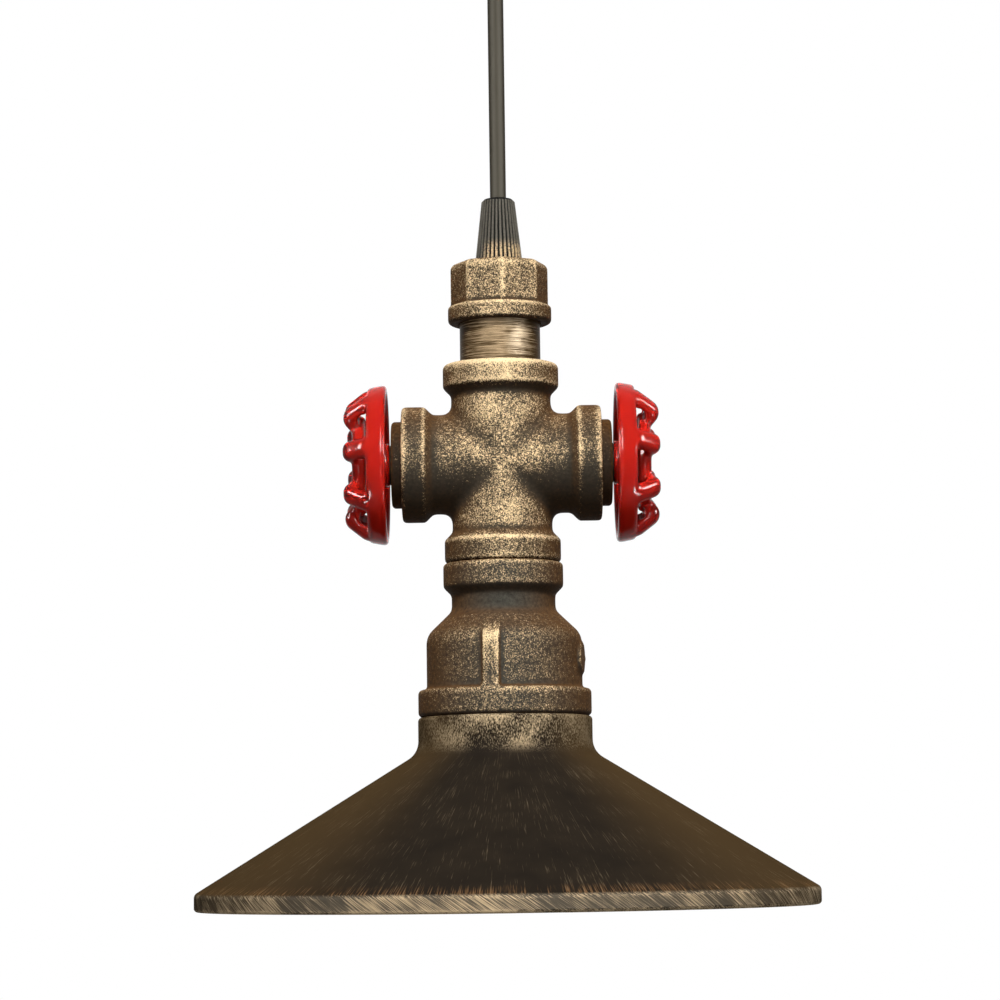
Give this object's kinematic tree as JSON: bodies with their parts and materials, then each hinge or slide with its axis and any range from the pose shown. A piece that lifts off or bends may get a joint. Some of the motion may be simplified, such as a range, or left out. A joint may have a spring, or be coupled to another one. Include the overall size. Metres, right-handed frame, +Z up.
{
  "type": "pipe pendant lamp",
  "caption": "Hanging lamp built from bronzed pipe fittings: corded cap, cross with turning red handwheels, bell reducer and a shallow conical metal shade over a screw-in bulb.",
  "frame": {"origin": "on the lamp's upright axis, at the top face of the ceiling bracket, against the ceiling", "axes": "+Z up into the ceiling, +X to the right-hand handwheel, -Y to the front of the lamp"},
  "size_m": [0.2054, 0.2054, 0.3459],
  "materials": {
    "antique_bronze": "cast, dark brown with worn gold speckle",
    "brushed_bronze": "turned pipe, brushed round, bronze lacquer",
    "dark_bronze": "smooth, nearly black",
    "shade_bronze": "spun sheet, dark bronze with fine scratches",
    "wheel_red": "thick gloss enamel",
    "grip_black": "moulded, gold dusted on its ridges",
    "cord_black": "smooth sheath with a soft shine",
    "canopy_black": "satin powder coat",
    "zinc_steel": "bright zinc plate",
    "terminal_white": "moulded nylon",
    "core_copper": "brown and blue insulated cores",
    "holder_black": "moulded thermoset",
    "holder_ceramic": "unglazed white",
    "brass": "rolled sheet",
    "bulb_opal": "opal white, satin",
    "bulb_metal": "rolled thread, nickel bright",
    "bulb_black_glass": "black glass"
  },
  "bodies": {
    "ceiling_fitting": {"ceiling_canopy": "canopy_black", "ceiling_bracket": "zinc_steel", "bracket_studs": "zinc_steel", "canopy_nuts": "brass", "canopy_cord_grip": "grip_black", "canopy_grip_nut": "zinc_steel", "canopy_lead": "cord_black", "canopy_cores": "core_copper", "terminal_block": "terminal_white", "terminal_screws": "zinc_steel"},
    "cord": {"cord": "cord_black"},
    "lamp": {"cord_grip": "grip_black", "grip_screw": "grip_black", "pipe_cap": "antique_bronze", "cap_lock_nut": "zinc_steel", "threaded_tube": "zinc_steel", "lamp_lead": "cord_black", "lamp_cores": "core_copper", "top_nipple": "brushed_bronze", "cross_fitting": "antique_bronze", "lower_nipple": "brushed_bronze", "reducer": "antique_bronze", "left_plug": "dark_bronze", "right_plug": "dark_bronze", "left_stem_washer": "dark_bronze", "right_stem_washer": "dark_bronze", "shade": "shade_bronze", "shade_ring": "holder_black", "lampholder_cap": "holder_black", "lampholder_skirt": "holder_black", "lampholder_insert": "holder_ceramic", "holder_terminals": "brass", "screw_shell": "brass", "centre_contact": "brass"},
    "left_wheel": {"left_handwheel": "wheel_red", "left_stem": "dark_bronze", "left_wheel_nut": "zinc_steel"},
    "right_wheel": {"right_handwheel": "wheel_red", "right_stem": "dark_bronze", "right_wheel_nut": "zinc_steel"},
    "bulb_tip": {"bulb_eyelet": "brass"},
    "bulb": {"bulb_glass": "bulb_opal", "bulb_cap": "bulb_metal", "bulb_insulator": "bulb_black_glass"}
  },
  "joints": [
    {"name": "cord_sway", "type": "hinge", "parent": "ceiling_fitting", "child": "cord", "pos_m": [0, 0, -0.0378], "axis": [0, 1, 0], "range_deg": [-25, 25]},
    {"name": "lamp_tilt", "type": "hinge", "parent": "cord", "child": "lamp", "pos_m": [0, 0, -0.1098], "axis": [1, 0, 0], "range_deg": [-20, 20]},
    {"name": "left_wheel_turn", "type": "hinge", "parent": "lamp", "child": "left_wheel", "pos_m": [-0.045, 0, -0.1992], "axis": [-1, 0, 0], "continuous": true},
    {"name": "right_wheel_turn", "type": "hinge", "parent": "lamp", "child": "right_wheel", "pos_m": [0.045, 0, -0.1992], "axis": [1, 0, 0], "continuous": true},
    {"name": "bulb_lead", "type": "slide", "parent": "lamp", "child": "bulb_tip", "axis": [0, 0, -1], "range_m": [0, 0.0182]},
    {"name": "bulb_turn", "type": "hinge", "parent": "bulb_tip", "child": "bulb", "pos_m": [0, 0, -0.3], "axis": [0, 0, -1], "range_deg": [0, 1800]}
  ],
  "couplings": [
    {"joint": "bulb_lead", "follows": "bulb_turn", "m_per_rad": 0.00057773}
  ]
}
